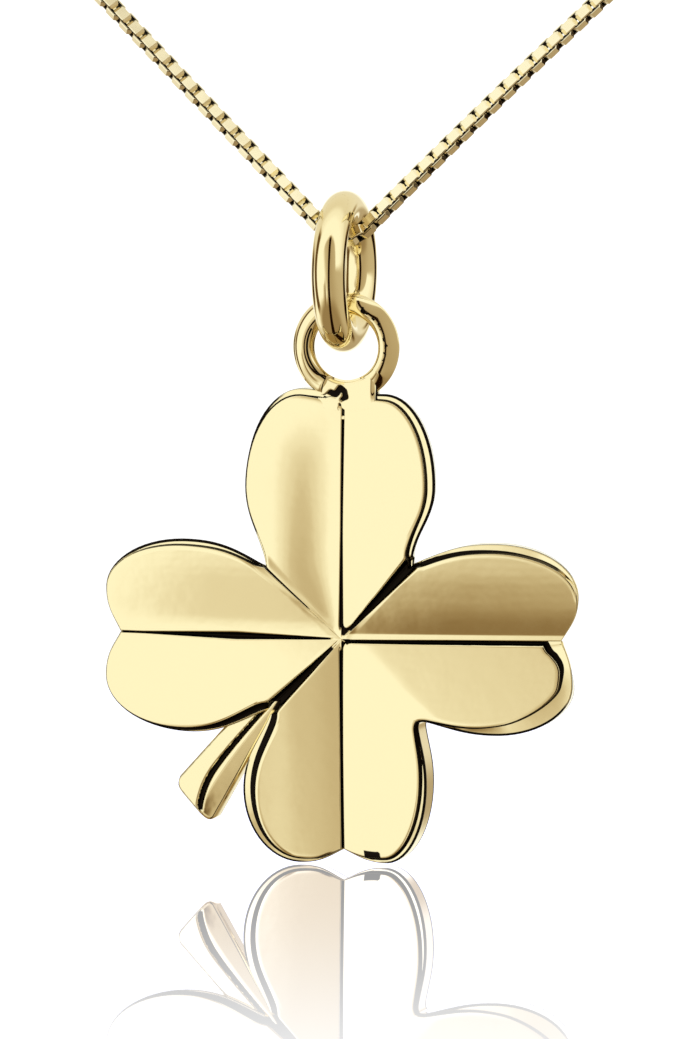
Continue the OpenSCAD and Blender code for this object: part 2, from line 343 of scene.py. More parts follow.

# Each half leaf, going round from the right.
# Outline: its leaf, its side of the midrib, its fork, the far point of its lobe and its wide point
# along and across in shares of the reach, and flank, the angle at which it leaves the fork.
# Face: its slopes at the midrib, in the middle and at the crest, where that middle is near the
# centre and further out, the width of the level ground beside the midrib, how much of the rise is
# lost evenly towards the tip (ebb) and close to it (fade), and the turn from its midrib of the line
# that its vein rounds into at the centre (corner).
# Rim: how steeply it falls outward (lean), and the most by which it lies below the face.
# At each station: the step's width in shares, the width of the line of painted shade in the step and
# of the one on the outer edge, and how far the side draws in to the back.
STATIONS = [0, 0.4, 1, 1.5, 2, 3]
PLAIN_HALF = dict(middle=(0.5, 0.5), level=0.02, ebb=0, fade=0, corner=0, lean=0, below=0.22,
                  draft=(0, 0, 0, 0, 0, 0))
HALVES = [dict(PLAIN_HALF, **half) for half in (
    dict(leaf="right", side=1, fork="upper_right", lobe=(1.007, 0.184), wide=(0.649, 0.397),
         flank=22, slopes=(0.19, 0.11, 0.08), level=0.19, below=0.45,
         steps=(0.02, 0.02, 0.05, 0.6, 0.72, 0.5), painted_shade=(0, 0, 0, 0.02, 0.11, 0.22),
         edge=(0, 0, 0, 0.01, 0.01, 0.01), draft=(0.35, 0.35, 0.35, 0.1, 0, 0)),
    dict(leaf="top", side=-1, fork="upper_right", lobe=(1.015, 0.175), wide=(0.635, 0.397),
         flank=5, slopes=(0.12, 0.1, 0.08), corner=43.5,
         steps=(0.2, 0.3, 0.55, 0.68, 0.74, 0.5), painted_shade=(0.05, 0.05, 0.03, 0.03, 0.06, 0.1),
         edge=(0.01, 0.01, 0.03, 0.05, 0.05, 0.03), draft=(0, 0, 0.1, 0.16, 0.22, 0.2)),
    dict(leaf="top", side=1, fork="upper_left", lobe=(1.032, 0.179), wide=(0.64, 0.417),
         flank=14, slopes=(-0.03, 0.228, 0.06), middle=(0.2, 0.56), ebb=0.766, fade=1,
         steps=(0.5, 0.6, 0.66, 0.2, 0.2, 0.3), painted_shade=(0.1, 0.12, 0.03, 0.05, 0.06, 0),
         edge=(0.01, 0.01, 0.01, 0.03, 0.05, 0), draft=(0, 0, 0, 0, 0, 0.25)),
    dict(leaf="left", side=-1, fork="upper_left", lobe=(1.018, 0.184), wide=(0.67, 0.397),
         flank=30, slopes=(0.07, 0.15, 0.12), middle=(0.4, 0.4), level=0.1,
         steps=(0.1, 0.1, 0.1, 0.3, 0.6, 0.3), painted_shade=(0, 0, 0, 0.02, 0.03, 0.03),
         edge=(0.03, 0.03, 0.032, 0.04, 0.05, 0.04), draft=(0, 0, 0, 0.12, 0.25, 0.25)),
    dict(leaf="left", side=1, fork="lower_left", lobe=(1.016, 0.175), wide=(0.649, 0.407),
         flank=22, slopes=(0.14, 0.1, 0.04),
         steps=(0.1, 0.1, 0.1, 0.12, 0.4, 0.75), painted_shade=(0, 0, 0.02, 0.05, 0.14, 0.3),
         edge=(0.03, 0.03, 0.032, 0.032, 0.02, 0)),
    dict(leaf="bottom", side=-1, fork="lower_left", lobe=(0.935, 0.179), wide=(0.634, 0.418),
         flank=20, slopes=(0.18, 0.155, 0.12),
         steps=(0.1, 0.2, 0.4, 0.8, 1.2, 0.75), painted_shade=(0.02, 0.02, 0.06, 0.18, 0.26, 0.3),
         edge=(0.01, 0.01, 0.02, 0.03, 0.03, 0)),
    dict(leaf="bottom", side=1, fork="lower_right", lobe=(0.931, 0.184), wide=(0.593, 0.366),
         flank=7, slopes=(0.165, 0.165, 0.16), corner=90,
         steps=(0.1, 0.2, 0.5, 0.6, 0.5, 0.25), painted_shade=(0.02, 0.03, 0.13, 0.07, 0.09, 0.12),
         edge=(0.01, 0.01, 0.02, 0.03, 0.03, 0.03)),
    dict(leaf="right", side=-1, fork="lower_right", lobe=(0.976, 0.188), wide=(0.661, 0.393),
         flank=13, slopes=(0.17, 0.16, 0.15), corner=90, lean=0.12,
         steps=(1.6, 0.75, 0.9, 1.55, 0.72, 0.2), painted_shade=(0.22, 0.2, 0.05, 0.05, 0.05, 0.14),
         edge=(0, 0, 0.01, 0.03, 0.03, 0.06), draft=(0.35, 0.35, 0.15, 0, 0, 0)),
)]

# Outline: handles of its curves in shares, how near the fork its corner is filled, and the stations
# up to which and from which the way inward turns to the centre.
QUARTER_HANDLE = 0.5523
FLANK_HANDLE = 0.42
FILLET_REACH = 0.45
TIP_TO = 0.15
FORK_FROM = 2.8

# Cuts: shares of the reach for the three widths of a vein, where a vein begins, the radius of the
# round corners, how a groove widens, and how far its depth grows. Each slope and shade is from where
# to where a cut loses its depth or its painted shade, in half widths.
VEIN_SHARES = [0.05, 0.45, 0.85]
VEIN_BEGINS = (0.3, 0.55)
VEIN_SLOPE, VEIN_SHADE = (0, 1.1), (0.6, 1.1)
CORNER_R = 0.4
groove_start, groove_growth, groove_power = 0.2, 0.8, 1.2
GROOVE_GROWS_TO = 0.5
GROOVE_SLOPE, GROOVE_SHADE = (0.55, 1.1), (0.75, 1.1)

# Grid: columns from the tip to the fork, rows from the centre to near the step, and the last rows.
LEAF_COLUMNS = 84
COLUMN_CROWDING = 0.8
STATION_BLUR = 0.3
BLUR_SAMPLES = 9
FACE_ROWS = 64
ROW_CROWDING = 1.5
LAST_ROWS = np.array([0.965, 0.978, 0.987, 0.992, 0.996, 0.9985, 1])
BACK_ROWS = np.linspace(0.97, 0.03, 20)[:, None, None]

# A small dark patch in the colour of the right half of the bottom leaf, at the edge of the face.
DARK_PATCH_HALF = 6
dark_patch_at = 0.75
dark_patch_reach = 0.17
dark_patch_from = 0.972

# Rim: its sizes, and the most that they may take of the step's width. Each row of the step's wall
# lies out from the face and over the rim by shares of the wall's width and of the step's height.
rim_h = 0.88
step_w = 0.5
rim_r, rim_r_share = 0.05, 0.4
wall_w, wall_share = 0.05, 0.5
steepest_step, gentlest_step = 1.5, 0.1
WALL_ROWS = [(0.02, 0.95), (0.5, 0.5), (0.8, 0.12), (1, 0)]
# The dark lines of the step, the rim's edge, the side and the bevel are painted shade.
line_over_wall = 1.1
line_fade_w = 0.02
shade_full_w, line_full_w, edge_full_w = 0.04, 0.01, 0.03
LEAN_STATIONS = (0.6, 1.3)
RIM_TURNS = np.radians([0, 20, 40, 50, 65, 80, 90])
side_line_h, side_shade_h, side_fade_h = 0.97, 0.1, 0.03
back_bevel = 0.12
BEVEL_TURNS = np.radians([0, 15, 30, 60, 90])
BEVEL_SHADE = (0.8, 0.5, 0, 0, 0)


def smooth(value, start, end):
    """3t^2 - 2t^3, where t goes from 0 at start to 1 at end."""
    t = np.clip((value - start) / (end - start), 0, 1)
    return t * t * (3 - 2 * t)


def fork_angle(half):
    """Angle between a half leaf's midrib and its fork, in radians."""
    turn = FORKS[half["fork"]]["turn"] - LEAVES[half["leaf"]]["turn"]
    return math.radians((half["side"] * turn) % 360)


def unit(vectors):
    """The same ways, with a length of one."""
    return vectors / np.linalg.norm(vectors, axis=1, keepdims=True)


def outline(half, s):
    """Outline at stations s, with the unit vector into the leaf. Stations 0, 1, 2 and 3 are the
    tip, the lobe, the wide point and the fork, with one cubic curve between each two:
    (1-t)^3 p + 3 (1-t)^2 t q + 3 (1-t) t^2 r + t^3 e. Within a distance D of the fork the corner
    is filled outward by k (1 - d/D)^2."""
    leaf, fork = LEAVES[half["leaf"]], FORKS[half["fork"]]
    tip = np.array([leaf["tip"], 0])
    lobe, wide = np.array(half["lobe"]), np.array(half["wide"])
    angle, flank = fork_angle(half), math.radians(half["flank"])
    end = fork["at"] * np.array([math.cos(angle), math.sin(angle)])
    handle = FLANK_HANDLE * (wide[0] - end[0])
    controls = np.array([
        [tip, [(tip[0] + lobe[0]) / 2, lobe[1] / 3], [lobe[0], lobe[1] / 2], lobe],
        [lobe, [lobe[0], lobe[1] + QUARTER_HANDLE * (wide[1] - lobe[1])],
         [wide[0] + QUARTER_HANDLE * (lobe[0] - wide[0]), wide[1]], wide],
        [wide, [wide[0] - handle, wide[1]],
         end + handle * np.array([math.cos(flank), math.sin(flank)]), end],
    ]) * leaf_reach
    piece = np.minimum(2, s.astype(int))
    p, q, r, e = (controls[piece, k] for k in range(4))
    t = (s - piece)[:, None]
    points = (1 - t)**3 * p + 3 * (1 - t)**2 * t * q + 3 * (1 - t) * t**2 * r + t**3 * e
    ways = (1 - t)**2 * (q - p) + 2 * (1 - t) * t * (r - q) + t**2 * (e - r)
    into = unit(np.stack([-ways[:, 1], ways[:, 0]], axis=1))
    from_fork = np.linalg.norm(points - end * leaf_reach, axis=1) / FILLET_REACH
    filled = fork["fillet"] * np.maximum(1 - from_fork, 0)**2
    points = points + filled[:, None] * end / np.linalg.norm(end)
    at_tip = (1 - smooth(s, 0, TIP_TO))[:, None]
    at_fork = smooth(s, FORK_FROM, 3)[:, None]
    into = at_tip * [-1, 0] - at_fork * unit(points) + (1 - at_tip - at_fork) * into
    return points, unit(into)


def rise(half, r, a):
    """Height over the midrib: beyond the level ground the slope goes smoothly, as 3t^2 - 2t^3, from
    the first of the three slopes to the second and the third, and the height is its integral. The
    place of the second slope moves smoothly, from the first share at the centre to the second at a
    distance of MIDDLE_R from it."""
    across = np.maximum(r * np.sin(a) - half["level"], 0)
    x = (np.hypot(across, level_bend) - level_bend) / crest_w
    s0, s1, s2 = half["slopes"]
    near, far = half["middle"]
    middle = near + (far - near) * smooth(r, 0, MIDDLE_R)
    t = np.clip(x / middle, 0, 1)
    height = middle * (s0 * t + (s1 - s0) * (t**3 - t**4 / 2))
    t = np.clip((x - middle) / (1 - middle), 0, 1)
    height = height + (1 - middle) * (s1 * t + (s2 - s1) * (t**3 - t**4 / 2))
    height = height + s2 * np.maximum(x - 1, 0)
    share = r / leaf_reach
    left = (1 - half["ebb"] * share) * (1 - half["fade"] * smooth(share, *FADE_FROM_TO))
    return crest_w * height * left


def face_height(index, points):
    """Height of a half leaf's face over the back. Near a fork it goes to the mean of the two half
    leaves that meet there, and a ridge is rounded by s (w - d)^2 / 2w at a distance d from it."""
    half = HALVES[index]
    other = next(h for h in HALVES if h["fork"] == half["fork"] and h is not half)
    r = np.hypot(points[..., 0], points[..., 1])
    a = np.arctan2(points[..., 1], points[..., 0])
    falls = [LEAVES[h["leaf"]]["fall"] for h in (half, other)]
    apart = (rise(other, r, fork_angle(other)) - rise(half, r, fork_angle(half))
             - (falls[1] - falls[0]) * (r / leaf_reach)**2) / 2
    fork = FORKS[half["fork"]]
    beside = r * np.sin(np.maximum(fork_angle(half) - a, 0))
    height = centre_h - falls[0] * (r / leaf_reach)**2 + rise(half, r, a)
    if fork["meet"]:
        share = smooth(a / fork_angle(half), fork["meet"], 1)
        width = fork["round_w"]
        rounded = ridge_slope * np.maximum(width - beside, 0)**2 / (2 * width)
        return height + apart * share - rounded
    return height + apart * (1 - smooth(beside / fork["groove_w"], 0, 1))


def cuts(half, points):
    """Depth and painted shade of the vein along the midrib and of the groove in the fork. Where a half
    leaf has a round corner, the vein's distance from it is rounded: R - |(R - d, R - e)|, with d
    and e the distances from the two lines that meet and R the corner's radius. A groove's half
    width goes as p + q x^n with the share x of the way out to the fork."""
    leaf, fork = LEAVES[half["leaf"]], FORKS[half["fork"]]
    u, v = points[..., 0], points[..., 1]
    r = np.hypot(u, v)
    share = np.clip(r / leaf_reach, 0, 1)
    w = np.interp(share, VEIN_SHARES, leaf["vein"]) / 2
    away = abs(v - half["side"] * leaf["off"])
    begins = smooth(r, *VEIN_BEGINS)
    if half["corner"]:
        turn = math.radians(half["corner"])
        other = abs(u * math.sin(turn) - v * math.cos(turn))
        short = CORNER_R - np.stack([away, other])
        rounded = CORNER_R - np.hypot(*np.maximum(short, 0))
        is_vein_too = half["corner"] == 90
        straight = np.minimum(away, other) if is_vein_too else away
        away = np.where((short > 0).all(axis=0), abs(rounded), straight)
        begins = np.ones_like(r)
    depth = leaf["vein_d"] * (1 - smooth(away / w, *VEIN_SLOPE)) * begins
    dark = (1 - smooth(away / w, *VEIN_SHADE)) * begins
    if fork["groove_w"]:
        angle = fork_angle(half)
        beside = abs(u * math.sin(angle) - v * math.cos(angle))
        out = np.clip(r / (fork["at"] * leaf_reach), 0, 1)
        width = fork["groove_w"] * (groove_start + groove_growth * out**groove_power)
        deep = fork["groove_d"] * smooth(out, 0, GROOVE_GROWS_TO)
        depth = np.maximum(depth, deep * (1 - smooth(beside / width, *GROOVE_SLOPE)))
        shade = (1 - smooth(beside / width, *GROOVE_SHADE)) * smooth(r, *fork["dark_from"])
        dark = np.maximum(dark, shade)
    return depth, dark


def widths_at(half, s):
    """The widths that are given at the stations, averaged over a short reach to either side."""
    reach = np.minimum(STATION_BLUR, np.minimum(s, 3 - s))
    near = s + np.linspace(-1, 1, BLUR_SAMPLES)[:, None] * reach
    step, shade_w, edge_w, draft = (
        np.interp(near, STATIONS, half[key]).mean(axis=0) for key in ("steps", "painted_shade", "edge", "draft"))
    return step_w * step, shade_w, edge_w, draft


def face_rows(index, s, top, into, step):
    """Rows of the face, at shares f of the way from the clover's centre to the step, with a small
    roll of E (1 - d/W)^2 down to the step within a distance W of it."""
    f = np.linspace(0, 1, FACE_ROWS + 1)[1:]**ROW_CROWDING * LAST_ROWS[0]
    f = np.concatenate([f, LAST_ROWS[1:]])[:, None]
    face = f[..., None] * top
    depth, dark = cuts(HALVES[index], face)
    # The small dark patch is painted into the colour; the face has no dent there.
    if index == DARK_PATCH_HALF:
        dark = np.maximum(dark, (abs(s - dark_patch_at) < dark_patch_reach) * (f > dark_patch_from))
    inward = -np.sum(top * into, axis=1)
    near_edge = (1 - f) * inward / edge_roll_w
    roll = edge_roll * smooth(step, *ROLL_FROM_TO) * np.maximum(1 - near_edge, 0)**2
    height = face_height(index, face) - depth - roll
    return np.stack([face[..., 0], height, face[..., 1]], axis=2), dark


def rim_rows(half, s, edge, into, widths, top_h):
    """Rows down the step's wall, over the level or leaning rim with its line of painted shade, round
    the rim's edge by R (1 - cos), down the side and round the bevel to the back. The wall, the rim's
    edge, the side and the bevel carry painted shade too."""
    step, shade_w, edge_w, draft = widths
    wall = np.minimum(wall_w, wall_share * step)
    bend = np.minimum(rim_r, rim_r_share * step)
    shelf = np.maximum(np.maximum(rim_h, top_h - half["below"]), top_h - steepest_step * step)
    shelf = np.minimum(shelf, top_h - gentlest_step * step)
    shade_painted = smooth(shade_w, 0, shade_full_w)
    lined = smooth(edge_w, 0, line_full_w)
    edged = smooth(edge_w, line_full_w, edge_full_w)
    rows, tones = [], []

    def row(inset, h, tone):
        """Adds points at a distance in from the outline and a height over the back."""
        points = edge + inset[:, None] * into
        rows.append(np.column_stack([points[:, 0], np.broadcast_to(h, s.shape), points[:, 1]]))
        tones.append(np.broadcast_to(tone, s.shape))

    for out, up in WALL_ROWS:
        row(step - out * wall, shelf + up * (top_h - shelf), shade_painted)
    line_end = np.maximum(step - np.maximum(shade_w, line_over_wall * wall), bend)
    lean = half["lean"] * smooth(s, *LEAN_STATIONS)
    rim_edge = shelf - lean * (line_end - bend)
    row(line_end, shelf, shade_painted)
    row(np.maximum(line_end - line_fade_w, bend), shelf - lean * line_fade_w, 0)
    row(np.minimum(bend + edge_w + line_fade_w, line_end), rim_edge, 0)
    row(np.minimum(bend + edge_w, line_end), rim_edge, edged)
    for turn in RIM_TURNS:
        tone = edged if turn < math.pi / 4 else lined
        row(bend * (1 - math.sin(turn)), rim_edge - rim_r * (1 - math.cos(turn)), tone)
    side_h = rim_edge - rim_r - back_bevel
    for share, tone in ((side_line_h, lined), (side_line_h - side_fade_h, 0),
                        (side_shade_h + side_fade_h, 0), (side_shade_h, BEVEL_SHADE[0])):
        row((1 - share) * draft, back_bevel + share * side_h, tone)
    for turn, tone in zip(BEVEL_TURNS, BEVEL_SHADE):
        row(draft + back_bevel * (1 - math.cos(turn)), back_bevel * (1 - math.sin(turn)), tone)
    return np.array(rows), np.array(tones)


def half_leaf(index):
    """Grid of one half leaf from the clover's centre over the face, the step, the rim and the side
    to the back, as x, height and z with its painted shade, one column for each station. The back is
    hollow by H (1 - q^2) at a share q of the way out."""
    half = HALVES[index]
    u = np.linspace(0, 1, LEAF_COLUMNS)
    s = 3 * (u - COLUMN_CROWDING * np.sin(2 * math.pi * u) / (2 * math.pi))
    edge, into = outline(half, s)
    widths = widths_at(half, s)
    top = edge + widths[0][:, None] * into
    face, dark = face_rows(index, s, top, into, widths[0])
    rim, tones = rim_rows(half, s, edge, into, widths, face[-1, :, 1])
    back = BACK_ROWS * rim[-1] + back_hollow * (1 - BACK_ROWS**2) * [0, 1, 0]
    tone = np.concatenate([dark, tones, np.zeros(back.shape[:2])])
    return np.concatenate([face, rim, back]), tone


def torus_faces(rows, columns):
    """Quads of a grid that closes on itself both ways."""
    i, j = np.meshgrid(np.arange(rows), np.arange(columns), indexing="ij")
    down, over = (i + 1) % rows, (j + 1) % columns
    return np.stack([
        i * columns + j, down * columns + j, down * columns + over, i * columns + over,
    ], axis=-1).reshape(-1, 4)


def tube_faces(rows, columns):
    """Quads of a grid whose columns close, with its first and last row left open."""
    return torus_faces(rows, columns)[:-columns]


def fan(point, start, count):
    """Triangles from one point to a closed row of points, turned from each to the next."""
    j = np.arange(count)
    return np.stack([np.full(count, point), start + j, start + (j + 1) % count], axis=1)


# Gold: its colour and that of the painted shade in the cuts, how fine and how deep the wheel's marks
# are, how much they change the gloss, how ragged the edge of the painted shade is and how much
# rougher the painted shade is.
GOLD = (0.985, 0.885, 0.575)
PAINTED_SHADE_COLOUR = (0.012, 0.009, 0.007)
wheel_waves, wheel_lines, lines_share = 1100, 900, 0.04
wheel_depth = 4e-6
WAVE_RANGE = (0.3, 0.7)
least_rough, most_rough = 0.8, 1.3
shade_jags, jag_size = 5000, 0.2
SHADE_FROM_TO = (0.3, 0.65)
shade_roughness = 0.35


def gold(name, colour, roughness, shade_painted=False):
    """Polished gold: a little uneven in gloss, with fine waves left by the polishing wheel. Where it is
    asked for, painted shade darkens it and makes it rougher in the cuts and along the dark lines."""
    material = bpy.data.materials.new(name)
    material.use_nodes = True
    tree = material.node_tree
    shader = tree.nodes["Principled BSDF"]
    place = node(tree, "TexCoord").outputs["Object"]
    waves = node(tree, "TexNoise", Vector=place, Scale=wheel_waves, Detail=2).outputs[0]
    lines = node(tree, "TexWave", Vector=place, Scale=wheel_lines, Distortion=6, Detail_Scale=0.3)
    lines.bands_direction = "Z"
    height = maths(tree, "MULTIPLY_ADD", lines.outputs["Fac"], lines_share, waves)
    bump = node(tree, "Bump", Height=height, Strength=1.0, Distance=wheel_depth)
    wire(tree, shader.inputs["Normal"], bump.outputs[0])
    shader.inputs["Metallic"].default_value = 1.0
    shader.inputs["Base Color"].default_value = (*colour, 1.0)
    gloss = ease(tree, waves, *WAVE_RANGE, least_rough * roughness, most_rough * roughness)
    # Painted shade: a dark colour and more roughness where the mesh's attribute says, with a ragged
    # edge.
    if shade_painted:
        tag = node(tree, "Attribute")
        tag.attribute_name = "painted_shade"
        lowered = maths(tree, "SUBTRACT", tag.outputs["Fac"], jag_size / 2)
        jags = node(tree, "TexNoise", Vector=place, Scale=shade_jags).outputs[0]
        dark = ease(tree, maths(tree, "MULTIPLY_ADD", jags, jag_size, lowered), *SHADE_FROM_TO)
        base = node(tree, "Mix")
        base.data_type = "RGBA"
        for socket, value in zip((0, 6, 7), (dark, (*colour, 1.0), (*PAINTED_SHADE_COLOUR, 1.0))):
            wire(tree, base.inputs[socket], value)
        wire(tree, shader.inputs["Base Color"], base.outputs[2])
        gloss = maths(tree, "MULTIPLY_ADD", dark, shade_roughness, gloss)
    wire(tree, shader.inputs["Roughness"], gloss)
    return material


clover_gold = gold("clover_gold", GOLD, 0.07, shade_painted=True)


def build_leaves():
    """The eight half leaves side by side in one closed skin, with a point at each centre."""
    columns, tones = [], []
    for index, half in enumerate(HALVES):
        grid, tone = half_leaf(index)
        turn, side = math.radians(LEAVES[half["leaf"]]["turn"]), half["side"]
        u, h, v = grid[..., 0], grid[..., 1], side * grid[..., 2]
        x = u * math.cos(turn) - v * math.sin(turn)
        z = u * math.sin(turn) + v * math.cos(turn)
        placed = np.stack([x, back_to_eyelet - h, z], axis=-1)
        order = slice(0, -1) if side == 1 else slice(None, 0, -1)
        columns.append(placed[:, order])
        tones.append(tone[:, order])
    grid = np.concatenate(columns, axis=1)
    tone = np.concatenate(tones, axis=1)
    rows, around = grid.shape[:2]
    middle = np.array([[0, back_to_eyelet - centre_h, 0], [0, back_to_eyelet - back_hollow, 0]])
    points = np.concatenate([grid.reshape(-1, 3), middle]) * MM + clover_centre
    painted_shade = np.append(tone.ravel(), [0, 0])
    front = fan(rows * around, 0, around)
    back = fan(rows * around + 1, (rows - 1) * around, around)[:, [0, 2, 1]]
    return add_mesh("leaves", points, [tube_faces(rows, around), front, back], clover_gold, painted_shade)


leaves = build_leaves()
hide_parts("clover")
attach(leaves, "pendant")


# Stem
# Part of the same casting: a short flared stem between the left and the bottom leaf, with a vein cut
# along it and darkened with painted shade, a strip of light beside the vein, a right side that falls
# away and a cut end.
# Lengths are in mm.
STEM_APEX = (-0.29, 1.3)
stem_turn = math.radians(233.8)
stem_from = 3.9
stem_to = 9.64
stem_skew = 0.22
stem_end_round = 0.4
stem_flare = 0.111
stem_h = 1.0
stem_floor = 0.1
stem_edge_r = 0.12
STEM_ROWS, STEM_COLUMNS = 56, 73
STEM_CROWDING = 1.6
left_rise = 0.05
strip_share = 0.2
right_fall = 0.25

# The vein: where it is lowest across, how far along it turns, how it bends up to there and beyond,
# its half width and depth, its painted shade in half widths, and where it ends along the stem.
vein_low, vein_turning, vein_bend, vein_last_bend = -0.08, 0.7, 1.3, 5.5
vein_half_w = 0.15
vein_d = 0.14
STEM_VEIN_SHADE = (0.4, 1.1)
STEM_VEIN_END = (0.97, 0.985)
vein_shade_from = 0.4

# The thin line of painted shade along the edges, except the right one, and the painted shade of the
# side, which ends a little over the floor.
edge_line = 0.1
edge_shade = 0.43
edge_shade_to = 0.6
side_shade_end = 0.1


def open_grid(rows, columns):
    """The indices of a grid's points, and the quads between them."""
    index = np.arange(rows * columns).reshape(rows, columns)
    quads = np.stack([index[:-1, :-1], index[1:, :-1], index[1:, 1:], index[:-1, 1:]], axis=-1)
    return index, quads.reshape(-1, 4)


def border(grid):
    """The values round the edge of a grid, in order."""
    return np.concatenate([grid[:-1, 0], grid[-1, :-1], grid[:0:-1, -1], grid[0, :0:-1]])


def skirt(upper, lower):
    """Quads between two closed rows of points."""
    return np.stack([upper, lower, np.roll(lower, -1), np.roll(upper, -1)], axis=-1)


def build_stem():
    """A wedge that widens from a point with the distance r from it. Across it, at shares c of the
    half width, the left facet rises gently to the vein, and the right one falls from a level strip.
    The edges and the end are rounded: h loses R - sqrt(R^2 - (R - d)^2) at a distance d < R from
    them. The end lies at R + k c - m c^8, and the vein at c = p + q (t - n)^2, where q is larger
    beyond n. The facets follow the vein's line with the smaller q all the way."""
    t = 1 - (1 - np.linspace(0, 1, STEM_ROWS))**STEM_CROWDING
    c = np.sin(np.linspace(-math.pi / 2, math.pi / 2, STEM_COLUMNS))
    t, c = np.meshgrid(t, c, indexing="ij")
    end = stem_to + stem_skew * c - stem_end_round * c**8
    r = stem_from + t * (end - stem_from)
    half_w = r * stem_flare
    past = (t - vein_turning)**2
    line = vein_low + np.where(t < vein_turning, vein_bend, vein_last_bend) * past
    off = c - vein_low - vein_bend * past
    h = stem_h + left_rise * np.minimum(off, 0) * half_w
    h = h - right_fall * np.maximum(off - vein_half_w - strip_share, 0) * half_w
    vein = 1 - smooth(abs(c - line) / vein_half_w, *STEM_VEIN_SHADE)
    vein = vein * (1 - smooth(t, *STEM_VEIN_END))
    inside = np.minimum((1 - abs(c)) * half_w, end - r)
    short = stem_edge_r - np.clip(inside, 0, stem_edge_r)
    h = h - vein_d * vein - (stem_edge_r - np.sqrt(stem_edge_r**2 - short**2))
    v = c * half_w
    painted_shade = np.maximum(vein > vein_shade_from, edge_shade * (inside < edge_line) * (c < edge_shade_to))

    count = len(border(t))
    r, v = (np.concatenate([grid.ravel(), border(grid), border(grid)]) for grid in (r, v))
    h = np.append(h.ravel(), np.repeat([stem_floor + side_shade_end, stem_floor], count))
    painted_shade = np.append(painted_shade.ravel(), np.repeat([edge_shade, 0], count))
    x = STEM_APEX[0] + r * math.cos(stem_turn) - v * math.sin(stem_turn)
    z = STEM_APEX[1] + r * math.sin(stem_turn) + v * math.cos(stem_turn)
    points = np.stack([x, back_to_eyelet - h, z], axis=-1) * MM + clover_centre
    index, top = open_grid(*t.shape)
    wall = index.size + np.arange(count)
    low = wall + count
    faces = [top, low[None, ::-1], skirt(border(index), wall), skirt(wall, low)]
    return add_mesh("stem", points, faces, clover_gold, painted_shade)


stem = build_stem()
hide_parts("clover")
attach(stem, "pendant")


# Eyelet
# Wire bent to a ring and soldered to the top leaf. Its ends are flattened into the solder, which
# fills the notch of the leaf up to the hole and is filed flush with the face. A crack is left in
# it, and the wire's right side is worn to a facet.
ring_out = 4.15 * MM
ring_aside = 0.08 * MM
eyelet_wire = 0.82 * MM
RING_ROWS, WIRE_COLUMNS = 288, 64
flat_share = 0.56
FLAT_FROM, FLAT_ALL, UNDER_FROM, UNDER_ALL = np.radians([90, 34, 34, 20])
facet_flat = 0.4
facet_skew = 0.65
FACET_FROM_TO = (0.25, 0.75)

# In degrees round the wire and round the ring: the crease, the row of pits, and its widest pit. Both
# are painted shade and are not cut into the wire.
crease_at, crease_half_w = 122, 7
CREASE_TURNS = (150, 238)
pits_at, pits_sway, sway_pace = 100, 5, 0.4
PIT_TURNS = (-25, 66)
pit_half_w, pit_varies, vary_pace = 4, 3, 0.6
big_pit_at, big_pit_reach, big_pit_more = 62, 4, 9

# The row of pits breaks off where the sum of these waves, each a pace, a start and a size, is low.
GAP_WAVES = [(0.45, 0, 1), (0.71, 1, 1), (0.13, 0, 0.5)]
gaps_below = -0.7

# The solder, in mm from the clover's centre: its ends at the hole in degrees, its lower edge from
# left to right and that edge's height, and how far it stands over the leaf, fades and dives.
FOOT_ANGLES = np.radians([214, 333])
FOOT_ROWS, FOOT_COLUMNS = 60, 90
hole_wire_share = 0.9
foot_left, foot_right, foot_low = -1.0, 1.34, 8.35
foot_proud = 0.012
foot_back_h = 0.4
foot_fade, FADE_DOWN, FADE_ASIDE, FADE_CORNER = 0.022, (0.5, 1), (0.6, 1), (0.5, 0.7)
foot_dive, DIVE_ASIDE, DIVE_DOWN = 0.13, (0.75, 1), (0.35, 0.7)
foot_lip, LIP_DOWN = 0.05, (0, 0.08)

# Its marks, sunk and darkened with painted shade: the crack and the pit as lines of points with half
# widths, and the seam at its right end.
FOOT_CRACK = [(-1.2, 9.2, 0.04), (-0.7, 9.22, 0.07), (-0.48, 9.34, 0.13), (-0.3, 9.3, 0.12),
              (-0.12, 9.52, 0.13), (0.04, 9.42, 0.1), (0.08, 9.2, 0.12), (-0.05, 9.1, 0.08)]
FOOT_PIT = [(-0.13, 8.92, 0.04), (-0.12, 8.76, 0.06), (0.0, 8.6, 0.12), (0.15, 8.6, 0.03)]
MARK_EDGE = (0.8, 1.2)
mark_d = 0.05
SEAM_ASIDE = (0.94, 0.98)
seam_low, seam_high = 9.0, 9.9


def ring_angles(rows):
    """Angles round a ring down the rows, and round its wire across the columns."""
    a = np.linspace(0, 2 * math.pi, rows, endpoint=False)[:, None]
    b = np.linspace(0, 2 * math.pi, WIRE_COLUMNS, endpoint=False)[None, :]
    return a, b


